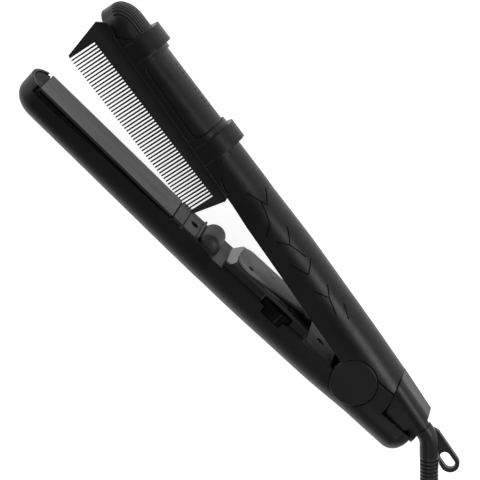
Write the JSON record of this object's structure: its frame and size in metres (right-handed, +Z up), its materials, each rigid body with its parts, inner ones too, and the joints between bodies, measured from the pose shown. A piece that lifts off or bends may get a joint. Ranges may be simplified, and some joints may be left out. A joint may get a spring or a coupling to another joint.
{
  "type": "hair straightener",
  "caption": "Hinged hair straightener with heated plates, thumbwheel control and swivel cord, carrying a clip-on comb attachment beside the plates.",
  "frame": {"origin": "centre of the hinge on the outer face of the cap that the straightener lies on, at the resting plane", "axes": "+X along the lower arm away from its tip, +Y square to the lower arm's rim towards the upper arm, +Z up along the hinge"},
  "size_m": [0.4393, 0.1446, 0.0324],
  "materials": {
    "shell_plastic": "satin black",
    "inner_plastic": "fine matt black",
    "carrier_plastic": "heat-proof matt black",
    "plate_coating": "dark satin ceramic coat",
    "heater_metal": "plain",
    "control_plastic": "polished black",
    "wheel_plastic": "satin black",
    "cap_plastic": "satin black",
    "comb_plastic": "satin black",
    "black_steel": "dark",
    "spring_steel": "bright",
    "pad_rubber": "silicone",
    "lens_clear": "clear",
    "board_green": "lacquered",
    "cord_rubber": "satin black",
    "tie_fabric": "woven",
    "pin_metal": "bright"
  },
  "bodies": {
    "upper_arm": {"upper_shell": "shell_plastic", "upper_cover": "inner_plastic", "upper_cover_screws": "black_steel", "upper_plate_carrier": "carrier_plastic", "upper_plate_pads": "pad_rubber", "rear_sleeve": "shell_plastic", "swivel_retainer": "inner_plastic", "hinge_spring": "spring_steel"},
    "lower_arm": {"lower_shell": "shell_plastic", "lower_frame": "inner_plastic", "lower_frame_screws": "black_steel", "lower_plate_carrier": "carrier_plastic", "lower_plate_pads": "pad_rubber", "control_housing": "control_plastic", "control_plate": "control_plastic", "control_plate_screws": "black_steel", "indicator_lens": "lens_clear", "dial_potentiometer": "heater_metal", "circuit_board": "board_green", "hinge_pin": "spring_steel", "near_hinge_cap": "cap_plastic", "far_hinge_cap": "cap_plastic"},
    "lower_plate_float": {"lower_plate": "plate_coating", "lower_heater": "heater_metal"},
    "upper_plate_float": {"upper_plate": "plate_coating", "upper_heater": "heater_metal"},
    "temperature_dial": {"thumbwheel": "wheel_plastic"},
    "comb": {"comb_attachment": "comb_plastic"},
    "swivel_cord": {"cord_elbow": "cord_rubber", "strain_relief": "cord_rubber", "cord_run": "cord_rubber", "cord_coil": "cord_rubber", "coil_tie": "tie_fabric", "plug_body": "cord_rubber", "plug_pins": "pin_metal"}
  },
  "joints": [
    {"name": "arm_hinge", "type": "hinge", "parent": "upper_arm", "child": "lower_arm", "pos_m": [0, 0, 0.0157], "axis": [0, 0, -1], "range_deg": [0, 12.2], "stiffness_Nm_per_rad": 1, "springref_deg": -8.59},
    {"name": "lower_plate_travel", "type": "slide", "parent": "lower_arm", "child": "lower_plate_float", "axis": [-0.0304, -0.9995, 0], "range_m": [0, 0.001], "stiffness_N_per_m": 3000, "springref_m": -0.0003},
    {"name": "upper_plate_travel", "type": "slide", "parent": "upper_arm", "child": "upper_plate_float", "axis": [0.2409, 0.9705, 0], "range_m": [0, 0.001], "stiffness_N_per_m": 3000, "springref_m": -0.0003},
    {"name": "temperature_dial_turn", "type": "hinge", "parent": "lower_arm", "child": "temperature_dial", "pos_m": [-0.0537, 0, 0.0198], "axis": [0, 1, 0], "range_deg": [0, 270]},
    {"name": "comb_slide", "type": "slide", "parent": "upper_arm", "child": "comb", "axis": [-0.9744, 0.225, 0], "range_m": [0, 0.13]},
    {"name": "cord_swivel", "type": "hinge", "parent": "upper_arm", "child": "swivel_cord", "pos_m": [0.03481, 0.00407, 0.0157], "axis": [0.9744, -0.225, 0], "continuous": true}
  ]
}
